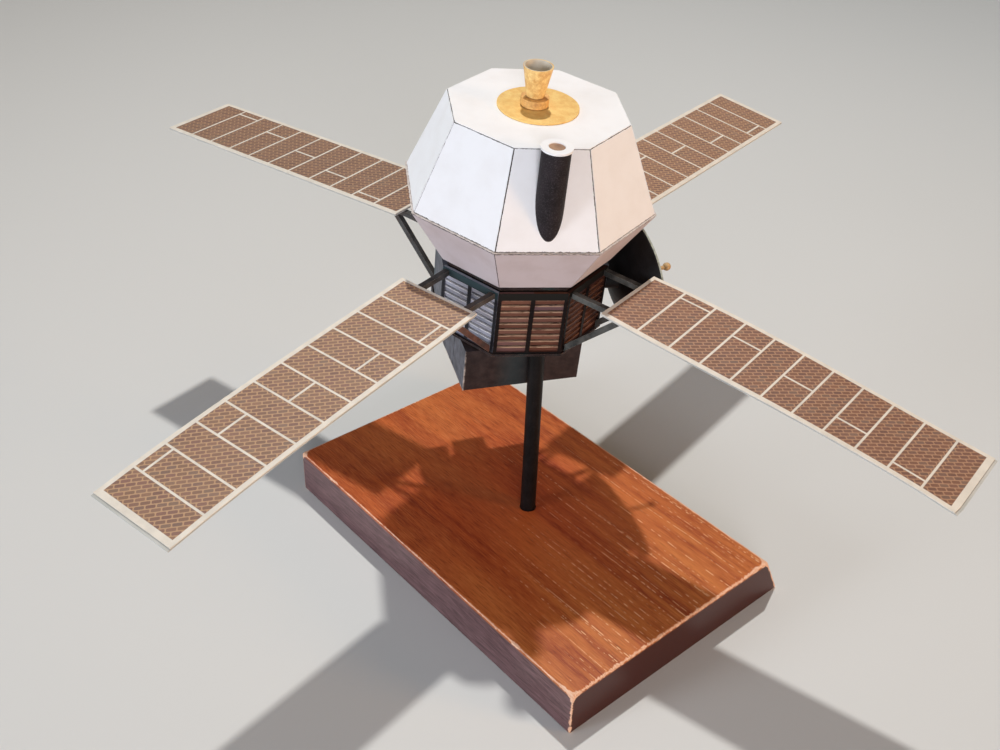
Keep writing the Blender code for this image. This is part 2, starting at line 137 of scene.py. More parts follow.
def maths(operation, *values):
    """One sum on plain numbers."""
    made = tree_of(values).nodes.new("ShaderNodeMath")
    made.operation = operation
    for socket, value in zip(made.inputs, values):
        put(socket, value)
    return made.outputs[0]


plus, minus, times = (partial(maths, kind) for kind in ("ADD", "SUBTRACT", "MULTIPLY"))
smaller, larger, divided = (partial(maths, kind) for kind in ("MINIMUM", "MAXIMUM", "DIVIDE"))
unsigned, whole, times_plus = (partial(maths, kind)
                               for kind in ("ABSOLUTE", "FLOOR", "MULTIPLY_ADD"))
print("a sum has", len(bpy.types.ShaderNodeMath.bl_rna.properties["operation"].enum_items), "kinds")

# %% [markdown]
# ## Tones and patches
# Real card and wood are never one colour. Noise, stretched to the contrast it needs,
# decides at each point how far the colour goes from one tone to another.


# %% Tones and patches
def blend(share, first, second, kind="MIX"):
    """A colour between two others."""
    made = tree_of((share, first, second)).nodes.new("ShaderNodeMix")
    made.data_type = "RGBA"
    made.blend_type = kind
    for place, value in ((0, share), (6, first), (7, second)):
        put(made.inputs[place], value)
    return made.outputs[2]


def between(value, low, high, at_low=0.0, at_high=1.0):
    """Stretch a value from low..high to at_low..at_high, and stop at both ends."""
    inputs = {0: value, 1: low, 2: high, 3: at_low, 4: at_high}
    return step("MapRange", inputs, clamp=True)[0]


def grain(where, size, detail=3.0, rough=0.55, distortion=0.0):
    """Soft random patches about as large as size, in the units of where."""
    inputs = {"Vector": where, "Scale": 1 / size, "Detail": detail, "Roughness": rough,
              "Distortion": distortion}
    return step("TexNoise", inputs)[0]


print("noise is measured in the units of the place it is given")

# %% [markdown]
# ## A finish and its shine
# Every finish starts from the same shader. In a pale room the little that black card
# mirrors turns it grey, so the shine of the dark pieces is turned down.

# %% A finish and its shine
LITTLE_SHINE = 0.15


def finish(name, roughness=0.6, metallic=0.0):
    """A new material, its node tree and its shader."""
    mat = bpy.data.materials.new(name)
    mat.use_nodes = True
    shader = mat.node_tree.nodes["Principled BSDF"]
    shader.inputs["Roughness"].default_value = roughness
    shader.inputs["Metallic"].default_value = metallic
    return mat, mat.node_tree, shader


def dull(mat, level):
    """Less shine, from 0 to 1; card and varnish start at a half."""
    mat.node_tree.nodes["Principled BSDF"].inputs["Specular IOR Level"].default_value = level
    return mat


print("finishes so far", len(bpy.data.materials))

# %% [markdown]
# ## Places on a piece
# Grain has to follow its piece, so a finish asks where a point lies in the frame of
# the piece, in millimetres. Random numbers also belong to a place: the same brick or
# blade draws the same ones each time.


# %% Places on a piece
def in_frame(tree, place, stretch=(1, 1, 1)):
    """Where the surface is, in millimetres, in the frame of one piece."""
    spot = step("TexCoord", {}, tree)["Object"]
    where, turn, _ = place.decompose()
    inputs = {"Vector": spot, "Location": where, "Rotation": turn.to_euler(),
              "Scale": [MM * share for share in stretch]}
    return step("Mapping", inputs, vector_type="TEXTURE")[0]


def split(vector):
    """The three parts of a place."""
    return step("SeparateXYZ", {0: vector})[:3]


def joined(x, y, z=0.0):
    """A place from its three parts."""
    return step("CombineXYZ", {0: x, 1: y, 2: z})[0]


def from_axis(x, y):
    """How far a point is from the upright axis of its frame."""
    return step("VectorMath", {0: joined(x, y)}, operation="LENGTH")["Value"]


def draws(place, **settings):
    """Three random numbers that belong to a place."""
    return step("SeparateColor", {0: step("TexWhiteNoise", place, **settings)["Color"]})[:3]


print("one millimetre is", MM, "of the scene's units")

# %% [markdown]
# ## Bumps and worn edges
# Rounding off the normal by a small radius shows where an edge is: there it turns
# away from the flat one, and the paint is rubbed off.

# %% Bumps and worn edges
EDGE_SAMPLES = 6


def coat(shader, colour, height, strength, depth):
    """Set the colour, and let a height from 0 to 1 tilt the light; depth is in millimetres."""
    put(shader.inputs["Base Color"], colour)
    inputs = {"Height": height, "Strength": strength, "Distance": depth * MM}
    put(shader.inputs["Normal"], step("Bump", inputs)[0])


def wear(tree, reach, low=0.04, high=0.25):
    """1 on the edges within reach (millimetres), 0 on flat ground."""
    rounded = step("Bevel", {"Radius": reach * MM}, tree, samples=EDGE_SAMPLES)[0]
    true = step("NewGeometry", {}, tree)["True Normal"]
    turned = step("VectorMath", {0: rounded, 1: true}, operation="DOT_PRODUCT")["Value"]
    return between(turned, 1 - low, 1 - high)


print("an edge is looked for", EDGE_SAMPLES, "times at each point")

# %% [markdown]
# ## Frames of the pieces
# The model leans on its rod, the board is turned, and each panel droops in its own
# way. So each piece's own frame is measured from its flat faces: one gives up, and
# another gives the direction of its length.

# %% Frames of the pieces
ABOUT_SAME, EXACTLY_SAME = 0.97, 0.9999


def directions(node, same=ABOUT_SAME):
    """[area, direction, middle] of the faces that look one way, largest first."""
    groups = []
    mesh = nodes[node].data
    for face in mesh.polygons:
        for group in groups:
            if face.normal.dot(group[1]) > same:
                group[0] += face.area
                group[2] += face.center * face.area
                break
        else:
            groups.append([face.area, face.normal.copy(), face.center * face.area])
    for group in groups:
        group[2] = group[2] / group[0]
    return sorted(groups, key=lambda group: -group[0])


def frame_from(up, along, origin):
    """A frame with Z up and X along, at an origin."""
    z = up.normalized()
    x = (along - z * along.dot(z)).normalized()
    y = z.cross(x)
    place = Matrix((x, y, z)).transposed().to_4x4()
    place.translation = origin
    return place


def spots_in(place, node):
    """The corners of a solid in millimetres, in the frame of one piece."""
    return [place.inverted() @ corner.co / MM for corner in nodes[node].data.vertices]


def facing(node, wanted):
    """The middle and direction of the face that looks most towards wanted."""
    best = max(directions(node), key=lambda group: group[1].dot(wanted))
    return best[2], best[1]


print("the board has", len(directions("plinth", EXACTLY_SAME)), "directions of face")

# %% [markdown]
# ## Satellite and board
# The satellite's frame is square to its foot plate and starts at the lower edge of the
# dome. The board's starts at its top, under the rod, and its largest upright side is a
# long one, so the grain runs along it.

# %% Satellite and board
WORLD_UP = Vector((0, 0, 1))
UPRIGHT = 0.05

up = facing("bus_foot_plate", -WORLD_UP)[1] * -1
front = facing("bus_foot_plate", Vector((0, -1, 0)))[1]
skirt_low = facing("dome_skirt", -up)[0]
satellite = frame_from(up, up.cross(front), skirt_low)
print("satellite leans", round(math.degrees(up.angle(WORLD_UP)), 2), "degrees")

board_sides = [side for _, side, _ in directions("plinth", EXACTLY_SAME) if abs(side.z) < UPRIGHT]
board_along = WORLD_UP.cross(board_sides[0])
board = frame_from(WORLD_UP, board_along, Vector((0, 0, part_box("plinth")[1].z)))
print("board turned", round(math.degrees(math.atan2(board_along.y, board_along.x)), 2), "degrees")

# %% [markdown]
# ## Floor
# A plain pale sheet curves up behind the model, so no line crosses the picture. Its
# outline is a straight floor, a quarter of a circle and a straight wall.

# %% Floor
FLOOR_HALF = 3.0
SWEEP_START = 1.1
SWEEP_RADIUS = 0.9
WALL_HEIGHT = 2.5
SWEEP_STEPS = 24

sweep = bmesh.new()
outline = [(-FLOOR_HALF, 0.0), (SWEEP_START, 0.0)]
for number in range(1, SWEEP_STEPS + 1):
    angle = math.pi / 2 * number / SWEEP_STEPS
    outline.append((SWEEP_START + SWEEP_RADIUS * math.sin(angle), SWEEP_RADIUS * (1 - math.cos(angle))))
outline.append((SWEEP_START + SWEEP_RADIUS, WALL_HEIGHT))
rows = [[sweep.verts.new((side * FLOOR_HALF, y, z)) for side in (-1, 1)] for y, z in outline]
for first, second in zip(rows, rows[1:]):
    sweep.faces.new((first[0], first[1], second[1], second[0]))
sweep_mesh = bpy.data.meshes.new("sweep")
sweep.to_mesh(sweep_mesh)
sweep.free()
sweep_mesh.shade_smooth()
in_scene("sweep", sweep_mesh)
mat, tree, shader = finish("sweep", 0.9)
shader.inputs["Base Color"].default_value = (*seen(212, 212, 210), 1.0)
sweep_mesh.materials.append(mat)
print("floor", len(sweep_mesh.polygons), "faces")

# %% [markdown]
# ## Light
# The main lamp stands high behind the model, which puts the light on the tops and the
# shadows to the front. The others stand low, to light the sides and leave the shadows
# on the board dark, and their light is narrow, as behind a grid, so that it doesn't
# burn the floor. A large cool lamp on the left and a warm one on the right give the
# white card its two tints, as a window and a room lamp do.

# %% Light
# columns: name, colour, the side and height it comes from in degrees, distance and
# size in metres, spread of its light in degrees, power in watts
LAMPS = (
    ("key", (1.0, 0.985, 0.95), 78, 71.3, 1.3, 0.045, 180, 11.4),
    ("cool_side", (0.84, 0.91, 1.0), -160, 10, 1.4, 0.45, 60, 1.2),
    ("warm_side", (1.0, 0.57, 0.22), -28, 8, 1.4, 0.36, 60, 0.88),
    ("front_fill", (0.92, 0.91, 0.98), -92, 15, 1.4, 0.6, 60, 1.12),
)
ROOM_LIGHT = 0.13
ROOM_COLOUR = (1.0, 0.99, 1.0)
AIM = Vector((0, 0, 0.1))

for name, colour, side, height, distance, size, spread, power in LAMPS:
    lamp = bpy.data.lights.new(name, "AREA")
    lamp.shape = "DISK"
    lamp.color = colour
    lamp.size = size
    lamp.spread = math.radians(spread)
    lamp.energy = power
    holder = in_scene(name, lamp)
    side, height = math.radians(side), math.radians(height)
    away = Vector((math.cos(side) * math.cos(height), math.sin(side) * math.cos(height),
                   math.sin(height)))
    holder.location = AIM + away * distance
    holder.rotation_euler = away.to_track_quat("Z", "Y").to_euler()
    print(name, "lamp at", [round(c, 2) for c in holder.location])

room = bpy.data.worlds.new("room")
bpy.context.scene.world = room
room.use_nodes = True
room.node_tree.nodes["Background"].inputs["Color"].default_value = (*ROOM_COLOUR, 1.0)
room.node_tree.nodes["Background"].inputs["Strength"].default_value = ROOM_LIGHT

# %% [markdown]
# ## Making pieces
# A new piece rides on the model's body. Where it takes a solid's place, it says which,
# so that only one of the two shows.


# %% Making pieces
def add_piece(name, shape, mat, place, slot, replaces=(), smooth=None):
    """Turn a bmesh into a piece of the model."""
    bmesh.ops.recalc_face_normals(shape, faces=shape.faces)
    mesh = bpy.data.meshes.new(name)
    shape.to_mesh(mesh)
    shape.free()
    mesh.materials.append(mat)
    if smooth is not None:
        mesh.shade_smooth()
        mesh.set_sharp_from_angle(angle=math.radians(smooth))
    piece = in_scene(name, mesh)
    piece.matrix_world = place
    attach(piece, "root")
    if replaces:
        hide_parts(*replaces)
    print(name, len(mesh.polygons), "faces")
    return piece


def dress(names, mat):
    """Give solids their finish."""
    for name in names:
        materials = nodes[name].data.materials
        materials.clear()
        materials.append(mat)
    print(mat.name, "on", len(names))


print("pieces are made by", add_piece.__name__, "and solids are coloured by", dress.__name__)

# %% [markdown]
# ## Board
# The board is a reddish hardwood under old varnish. Three things make it read as
# wood: streaks along its length, short pale pores in chains, and edges where the
# varnish is worn off. An edge is where two sides are near, so the wear is found by
# measuring how far a point is from each pair of sides.

# %% Board
ROUNDING = 0.5
SAME_LEVEL = 0.1
PAST_ROD_HOLE = 20

corners = spots_in(board, "plinth")
top_corners = [c for c in corners if c.z > -SAME_LEVEL and c.xy.length > PAST_ROD_HOLE]
X_LOW, X_HIGH = min(c.x for c in corners), max(c.x for c in corners)
Y_LOW, Y_HIGH = min(c.y for c in corners), max(c.y for c in top_corners) + ROUNDING
THICK = -min(c.z for c in corners)
SLOPE = (max(c.y for c in corners) - Y_HIGH) / THICK
print("board", round(X_HIGH - X_LOW, 1), "by", round(Y_HIGH - Y_LOW, 1), "mm")


def edge_distance(spot):
    """How far a point is from the board's nearest edge, nearest corner and nearest end."""
    x, y, z = split(spot)
    ends = smaller(minus(x, X_LOW), minus(X_HIGH, x))
    slanted = minus(times_plus(z, -SLOPE, Y_HIGH), y)
    sides = smaller(minus(y, Y_LOW), slanted)
    faces = smaller(times(z, -1.0), plus(z, THICK))
    pairs = [larger(*pair) for pair in ((ends, sides), (ends, faces), (sides, faces))]
    edge = smaller(smaller(pairs[0], pairs[1]), pairs[2])
    return edge, larger(pairs[0], faces), ends


print("its far side slants by", round(SLOPE * THICK, 1), "mm")

# %% [markdown]
# ## Pores
# The pores of this wood are dashes in long chains that run with the grain. Each lane
# of the board draws its own place for a chain, and noise along the lane breaks the
# chain into dashes. A slow drift bends the lanes, because no plank is quite straight.


# %% Pores
def pore_chains(tree, spot, pitch, width):
    """1 on the dashes of thin pale lines along the grain, at uneven distances."""
    x, y, _ = split(spot)
    drift = grain(in_frame(tree, board, (40, 8, 8)), 3.0, 2.0)
    lanes = divided(times_plus(drift, 6.0, y), pitch)
    lane = whole(lanes)
    first, second, third = draws({"W": lane}, noise_dimensions="1D")
    centre = times_plus(first, 0.7, 0.15)
    place = minus(lanes, lane)
    away = unsigned(minus(place, centre))
    on_line = between(away, (width * 0.5 + 0.07) / pitch, (width * 0.5 - 0.05) / pitch)
    dash = step("TexNoise", {"Vector": joined(times(x, 0.55), times(lane, 7.31)), "Scale": 1.0,
                             "Detail": 2.0})[0]
    on_dash = between(times_plus(second, 0.12, dash), 0.55, 0.60)
    return times(on_line, on_dash), third


# columns: distance from chain to chain and width of a chain in millimetres, and how
# rare a chain is, from 0 to 1
PORES = ((5.2, 0.26, 0.86), (2.3, 0.16, 1.0))
print("sets of pores", len(PORES))

# %% [markdown]
# ## Wood of the top
# Streaks, fibres and broad bands are one noise at three sizes, drawn out along the
# grain. The middle, around the rod, is darker and redder as painted shade of the
# model, and the wood is more golden at the front end, where most of the pores are too.

# %% Wood of the top
mat, tree, shader = finish("varnished wood", 0.33)
dull(mat, 0.32)
spot = in_frame(tree, board)
streaks = grain(in_frame(tree, board, (16, 1, 1)), 4.0, 5.0, 0.62, 0.35)
fibres = grain(in_frame(tree, board, (14, 1, 1)), 0.42, 4.0, 0.65)
bands = grain(in_frame(tree, board, (5, 1, 1)), 20.0, 2.0, 0.5)
along_x, across_y, below = split(spot)
wood = blend(between(streaks, 0.30, 0.70), seen(134, 50, 22), seen(192, 96, 44))
for patch, low, high, most, colour in ((bands, 0.38, 0.66, 0.6, seen(204, 118, 60)),
                                       (fibres, 0.50, 0.76, 0.6, seen(222, 140, 80)),
                                       (fibres, 0.46, 0.30, 0.75, seen(84, 24, 10))):
    wood = blend(between(patch, low, high, 0.0, most), wood, colour)
front_end = between(times_plus(across_y, 0.5, along_x), -30.0, 55.0)
golden = times(front_end, between(streaks, 0.40, 0.62, 0.02, 0.42))
wood = blend(golden, wood, seen(204, 130, 66))
for pitch, width, rarity in PORES:
    dashes, own = pore_chains(tree, spot, pitch, width)
    shown = between(times_plus(front_end, 0.75, own), rarity + 0.10, rarity + 0.40)
    wood = blend(times(dashes, shown), wood, seen(238, 188, 140))
from_rod = from_axis(along_x, across_y)
# painted shade: darker and redder around the rod, where the model's shadow falls
painted_shade_under_model = between(times_plus(bands, 30.0, from_rod), 72.0, 22.0, 0.0, 0.8)
wood = blend(painted_shade_under_model, wood, (0.92, 0.60, 0.62), "MULTIPLY")
print("steps in the wood so far", len(tree.nodes))

# %% [markdown]
# ## Sides and worn edges
# The sides are darker, as painted shade, and the long side on the left is grey, as
# painted cool light from the left. The wear reaches further in at the corners and along
# the front end, in a ragged line, and the bare wood under it is pale and a little lower
# than the varnish.

# %% Sides and worn edges
# painted shade: the sides are darker than the top
sides = between(below, -0.6, -1.4)
painted_light_left_side = between(minus(across_y, Y_LOW), 0.6, 0.2)
painted_side_shade_and_light = blend(between(fibres, 0.34, 0.68), seen(38, 9, 4), seen(78, 28, 16))
# painted cool light: the long left side is grey where the light from the left falls
painted_cool_light_side = blend(between(fibres, 0.34, 0.68), seen(74, 50, 52), seen(134, 104, 106))
painted_side_shade_and_light = blend(times(painted_light_left_side, 0.8), painted_side_shade_and_light, painted_cool_light_side)
wood = blend(sides, wood, painted_side_shade_and_light)
edge, corner, ends = edge_distance(spot)
ragged = grain(in_frame(tree, board, (2.0, 1, 1)), 1.1, 5.0, 0.75)
chipped = grain(spot, 6.0, 3.0, 0.6)
reach = plus(between(ragged, 0.34, 0.70, 0.26, 0.62), between(chipped, 0.58, 0.72, 0.0, 0.6))
at_end = times(between(ends, 4.0, 0.5), between(ragged, 0.40, 0.66, 0.05, 0.55))
reach = plus(reach, at_end)
reach = plus(reach, between(corner, 3.2, 0.8, 0.0, 1.1))
reach = times(reach, between(below, -1.2, -3.0, 1.0, 0.75))
reach = times(reach, between(below, -14.5, -16.5, 1.0, 0.35))
worn = between(minus(edge, reach), 0.12, -0.12)
bare = blend(between(fibres, 0.3, 0.7), seen(208, 146, 112), seen(242, 204, 174))
wood = blend(worn, wood, bare)
rough = between(plus(fibres, worn), 0.3, 1.3, 0.30, 0.62)
put(shader.inputs["Roughness"], rough)
height = times_plus(worn, -0.8, fibres)
coat(shader, wood, height, 0.3, 0.12)
dress(["plinth"], mat)

# %% [markdown]
# ## Black pieces
# Rod, tube and dish are not the same black: paint on wood shines a little, and card
# is dull, with a fine tooth and pale specks. Both are rubbed pale on their edges.


# %% Black pieces
def black_card(name, colour, edge, roughness, tooth=0.35):
    """Black or dark card with a fine tooth and edges rubbed pale."""
    mat, tree, shader = finish(name, roughness)
    spot = in_frame(tree, satellite)
    fibres = grain(spot, tooth, 4.0, 0.7)
    cloud = grain(spot, 5.0, 3.0)
    tone = blend(between(cloud, 0.35, 0.7), [c * 0.7 for c in colour], [c * 1.35 for c in colour])
    rubbed = times(wear(tree, 0.35), between(fibres, 0.35, 0.6))
    tone = blend(between(fibres, 0.52, 0.72, 0.0, 0.28), tone, edge)
    tone = blend(rubbed, tone, edge)
    coat(shader, tone, fibres, 0.4, 0.1)
    return mat


rod_paint = dull(black_card("rod paint", seen(16, 13, 13), seen(46, 44, 44), 0.45, 0.8), LITTLE_SHINE)
dress(["support_rod"], rod_paint)
tube_card = dull(black_card("tube card", seen(36, 30, 33), seen(120, 116, 118), 0.6), LITTLE_SHINE)
dress(["antenna_tube"], tube_card)
dish_card = dull(black_card("dish card", seen(22, 20, 21), seen(60, 62, 58), 0.55), 0.25)
dress(["dish_reflector", "dish_hub"], dish_card)

# %% [markdown]
# ## White card
# The dome is white card that was cut with a worn blade, so its edges are torn and the
# dark inside shows along each fold as a thin broken line. The solids are that inside,
# and each of their faces gets a plate of paper with a torn edge.


# %% White card
def paper(name, clean, soiled, patch=9.0):
    """Matt card with a fine tooth and faint soiling."""
    mat, tree, shader = finish(name, 0.8)
    spot = in_frame(tree, satellite)
    fibres = grain(spot, 0.35, 4.0, 0.7)
    soil = grain(spot, patch, 4.0, 0.6)
    coat(shader, blend(between(soil, 0.42, 0.75), clean, soiled), fibres, 0.2, 0.05)
    return mat


white_card = paper("white card", seen(243, 242, 243), seen(238, 236, 236))
# painted shade: the skirt is the same white card, darker because it faces down
shaded_skirt_card = paper("skirt card in painted shade", seen(196, 185, 188), seen(186, 173, 174))
torn_card = paper("torn card", seen(206, 196, 190), seen(150, 136, 128), 1.2)
inside = paper("inside of the dome", seen(62, 50, 46), seen(34, 27, 25), 0.8)
dress(["dome_cover", "dome_skirt"], inside)
dress(["antenna_cap"], white_card)

# %% [markdown]
# ## Corners of the dome
# The plates take their corners from the solids: the lowest eight and the highest
# eight of a solid, put in order around the middle, give each face its four corners.


# %% Corners of the dome
def in_satellite(node):
    """The corners of a solid in millimetres, in the frame of the satellite."""
    back = satellite.inverted()
    spots = {tuple(round(part / MM, 2) for part in back @ corner.co)
             for corner in nodes[node].data.vertices}
    return [Vector(spot) for spot in spots]


def ring_of(spots, wanted):
    """The eight lowest or highest corners of a solid, counter-clockwise."""
    spots = sorted(spots, key=lambda spot: spot.z * (1 if wanted == "low" else -1))[:8]
    return sorted(spots, key=lambda spot: math.atan2(spot.y, spot.x))


cover_low, cover_high = (ring_of(in_satellite("dome_cover"), end) for end in ("low", "high"))
skirt_low_ring, skirt_high = (ring_of(in_satellite("dome_skirt"), end) for end in ("low", "high"))
print("the dome is", round(2 * cover_low[0].xy.length, 1), "mm across its widest corners")

# %% [markdown]
# ## Torn plates
# A plate is an outline with a thickness. Each side is set in by its own amount and
# cut into short steps, and two sizes of noise move each step in or out. The corners
# stay, so that neighbouring plates still meet.

# %% Torn plates
TEAR_STEP = 0.32
COARSE_TEAR, FINE_TEAR, FINE_SHARE = 0.9, 3.1, 0.7


def set_in(corners, insets):
    """The corners of a flat outline after each side has moved in by its own inset."""
    count = len(corners)
    normal = (corners[1] - corners[0]).cross(corners[2] - corners[1]).normalized()
    sides = [(corners[(i + 1) % count] - corners[i]).normalized() for i in range(count)]
    moved = []
    for i in range(count):
        before, after = sides[i - 1], sides[i]
        inward = normal.cross(after)
        slide = (insets[i - 1] - insets[i] * normal.cross(before).dot(inward)) / (
            normal.cross(before).dot(after))
        moved.append(corners[i] + inward * insets[i] + after * slide)
    return moved, normal


def torn_outline(corners, insets, tears, seed):
    """An outline whose sides are torn: noise moves each small step in or out."""
    moved, normal = set_in(corners, insets)
    outline = []
    for i, start in enumerate(moved):
        side = moved[(i + 1) % len(moved)] - start
        inward = normal.cross(side.normalized())
        steps = max(2, round(side.length / TEAR_STEP))
        for number in range(steps):
            far = side.length * number / steps
            rough = noise.noise(Vector((far * COARSE_TEAR, seed * 7.3, i * 5.1)))
            rough += FINE_SHARE * noise.noise(Vector((far * FINE_TEAR, seed * 3.7, i * 2.3)))
            slip = tears[i] * rough if number else 0.0
            outline.append(start + side * (number / steps) + inward * slip)
    return outline, normal


def add_plate(shape, outline, normal, low, high):
    """A flat plate between two heights over its outline."""
    levels = []
    for height in (low, high):
        levels.append([shape.verts.new((point + normal * height) * MM) for point in outline])
    shape.faces.new(list(reversed(levels[0])))
    shape.faces.new(levels[1])
    count = len(outline)
    for i in range(count):
        j = (i + 1) % count
        shape.faces.new((levels[0][i], levels[0][j], levels[1][j], levels[1][i]))


print("a torn side has a step every", TEAR_STEP, "mm")

# %% [markdown]
# ## Paper of the dome
# Sixteen plates stand around the dome and one lies on top. The sides of a plate go in
# this order: low, right, high, left. The edges where cover and skirt meet are torn
# most, because that is where the blade left the card.

# %% Paper of the dome
PAPER = 0.22
SKIRT_PAPER = PAPER * 0.8
PAPER_LIFT = 0.03
COVER_INSETS, COVER_TEARS = (0.12, 0.15, 0.12, 0.15), (0.16, 0.07, 0.12, 0.07)
SKIRT_INSETS, SKIRT_TEARS = (0.2, 0.08, 0.42, 0.08), (0.06, 0.05, 0.18, 0.05)
TOP_INSET, TOP_TEAR = 0.10, 0.11
COVER_SEED, SKIRT_SEED, TOP_SEED = 1, 21, 41

cover = bmesh.new()
skirt = bmesh.new()
for i in range(8):
    j = (i + 1) % 8
    corners = [cover_low[i], cover_low[j], cover_high[j], cover_high[i]]
    outline, normal = torn_outline(corners, COVER_INSETS, COVER_TEARS, COVER_SEED + i)
    add_plate(cover, outline, normal, PAPER_LIFT, PAPER_LIFT + PAPER)
    corners = [skirt_low_ring[i], skirt_low_ring[j], skirt_high[j], skirt_high[i]]
    outline, normal = torn_outline(corners, SKIRT_INSETS, SKIRT_TEARS, SKIRT_SEED + i)
    add_plate(skirt, outline, normal, PAPER_LIFT, PAPER_LIFT + SKIRT_PAPER)
outline, normal = torn_outline(cover_high, (TOP_INSET,) * 8, (TOP_TEAR,) * 8, TOP_SEED)
add_plate(cover, outline, normal, PAPER_LIFT, PAPER_LIFT + PAPER)
add_piece("dome_paper", cover, white_card, satellite, "dome_card")
add_piece("skirt_paper", skirt, shaded_skirt_card, satellite, "dome_card")

# %% [markdown]
# ## Ledge of the dome
# Where cover and skirt meet, a flap of the skirt is folded under the cover. Its frayed
# rim sticks out as a thin pale ledge between two dark lines.

# %% Ledge of the dome
LEDGE_OUT = 0.16
LEDGE_TEAR = 0.22
LEDGE_LOW, LEDGE_HIGH = 0.03, 0.24
LEDGE_SEED = 61

ledge_height = skirt_high[0].z
ledge_corners = [Vector((spot.x, spot.y, ledge_height)) for spot in skirt_high]
outline, normal = torn_outline(ledge_corners, (-LEDGE_OUT,) * 8, (LEDGE_TEAR,) * 8, LEDGE_SEED)
ledge = bmesh.new()
add_plate(ledge, outline, WORLD_UP, LEDGE_LOW, LEDGE_HIGH)
add_piece("dome_ledge", ledge, torn_card, satellite, "dome_card")

# %% [markdown]
# ## Gold card
# The disc, collar and nozzle are gold card: a matt, mottled film with brown stains.
# The nozzle is rolled from card that is gold on one side only, so it is plain where a
# point is nearer to the axis than the outer wall is, by part of the card's thickness.


# %% Gold card
def gold_card(name, pale, deep, patch, inside=None):
    """Mottled gold film; inside gives the axis and the two ends of a rolled cone."""
    mat, tree, shader = finish(name, 0.5, 0.06)
    spot = in_frame(tree, satellite)
    cloud = grain(spot, patch, 4.0, 0.62, 0.4)
    speck = grain(spot, 0.35, 3.0, 0.7)
    tone = blend(between(cloud, 0.35, 0.68), pale, deep)
    tone = blend(between(speck, 0.6, 0.75, 0.0, 0.5), tone, seen(140, 92, 48))
    if inside is not None:
        axis_x, low, high, low_radius, high_radius = inside
        x, y, z = split(spot)
        away = from_axis(minus(x, axis_x), y)
        outer = between(z, low, high, low_radius, high_radius)
        within = between(minus(outer, away), 0.36, 0.46)
        tone = blend(within, tone, seen(206, 196, 178))
    coat(shader, tone, cloud, 0.25, 0.15)
    return mat


print("solids in gold card", [name for name in nodes if name.startswith(("gold", "nozzle"))])

# %% [markdown]
# ## Disc, collar and nozzle
# The nozzle's two ends are measured on its solid, so that the plain inside stays right
# if the nozzle changes.

# %% Disc, collar and nozzle
bell = spots_in(satellite, "nozzle_bell")
bell_low, bell_high = min(spot.z for spot in bell), max(spot.z for spot in bell)
bell_x = sum(spot.x for spot in bell) / len(bell)
bell_radii = [max(math.hypot(spot.x - bell_x, spot.y) for spot in bell
                  if abs(spot.z - level) < SAME_LEVEL) for level in (bell_low, bell_high)]
print("nozzle radii", [round(radius, 2) for radius in bell_radii], "mm")
dress(["gold_disc"], gold_card("gold disc", seen(244, 208, 130), seen(232, 182, 100), 2.4))
dress(["nozzle_collar"], gold_card("gold collar", seen(240, 194, 120), seen(200, 146, 84), 1.2))
nozzle_card = gold_card("gold nozzle", seen(250, 214, 140), seen(216, 162, 90), 1.6,
                        (bell_x, bell_low, bell_high, *bell_radii))
dress(["nozzle_bell"], nozzle_card)

# %% [markdown]
# ## Dark card of the body
# Body, plain bays and beams are printed card. All have the same make-up of two tones,
# a stain and pale rubbed edges, so one function makes the finish from its colours.


# %% Dark card of the body
def body_card(name, low, high, stain, edge):
    """Printed card in two tones, stained in patches and rubbed pale along its edges."""
    mat, tree, shader = finish(name, 0.55)
    spot = in_frame(tree, satellite)
    fibres = grain(spot, 0.35, 4.0, 0.7)
    cloud = grain(spot, 3.2, 4.0, 0.6)
    tone = blend(between(cloud, 0.36, 0.62), low, high)
    patch = grain(spot, 6.0, 2.0, 0.5)
    tone = blend(between(patch, 0.55, 0.72), tone, stain)
    rubbed = times(wear(tree, 0.22), between(fibres, 0.42, 0.62))
    tone = blend(rubbed, tone, edge)
    coat(shader, tone, fibres, 0.25, 0.06)
    return mat


print("dark solids", sum(name.startswith(("bus", "arm", "brace")) for name in nodes))

# %% [markdown]
# ## Colours of the card
# The card was printed on several sheets, and the light that it had since then has
# changed them unevenly, so the beams don't match: those of the front right panel are
# paler, and the braces of the front left one are brown.

# %% Colours of the card
# columns: finish, low tone, high tone, stain, rubbed edge
BODY_TONES = (
    ("dark card", (34, 27, 28), (52, 42, 42), (40, 52, 52), (150, 120, 100)),
    ("plain bay", (66, 70, 82), (100, 102, 112), (70, 88, 92), (180, 178, 174)),
    ("beam card", (40, 38, 38), (70, 68, 68), (74, 56, 46), (170, 160, 148)),
    ("pale beam card", (40, 42, 41), (84, 84, 80), (58, 54, 48), (176, 172, 160)),
    ("brown beam card", (78, 46, 36), (112, 72, 58), (70, 50, 44), (180, 150, 130)),
    ("feed bead", (190, 150, 100), (214, 178, 128), (150, 110, 70), (230, 210, 180)),
    ("cap hole", (150, 112, 86), (176, 138, 108), (120, 88, 66), (190, 160, 130)),
)
card = {name: body_card(name, *(seen(*tone) for tone in tones)) for name, *tones in BODY_TONES}
beams = [name for name in nodes if name.startswith(("arm_", "brace_"))]
dress(["bus_core", "bus_foot_plate"], dull(card["dark card"], LITTLE_SHINE))
dress(["bay_left", "bay_right"], card["plain bay"])
dress(beams, card["beam card"])
dress([name for name in beams if "front_right" in name], card["pale beam card"])
dress(["brace_front_left_cw", "brace_front_left_ccw"], card["brown beam card"])
dress(["dish_feed"], card["feed bead"])

# %% [markdown]
# ## Louvred bays
# The blades are printed card strips, each a little different. A bay's own frame and
# the heights of its blades are measured, so that a point can tell which it lies on.

# %% Louvred bays
BAY_SIDES = {"front": -90, "front_right": -45, "rear_right": 45, "rear": 90, "rear_left": 135,
             "front_left": -135}
BLADE_SINK = (0.2, 0.3)


def bay_frame(side):
    """X along the bay's face, Y into the body, Z up, from the middle of the body."""
    return satellite @ Matrix.Rotation(math.radians(side + 90), 4, "Z")


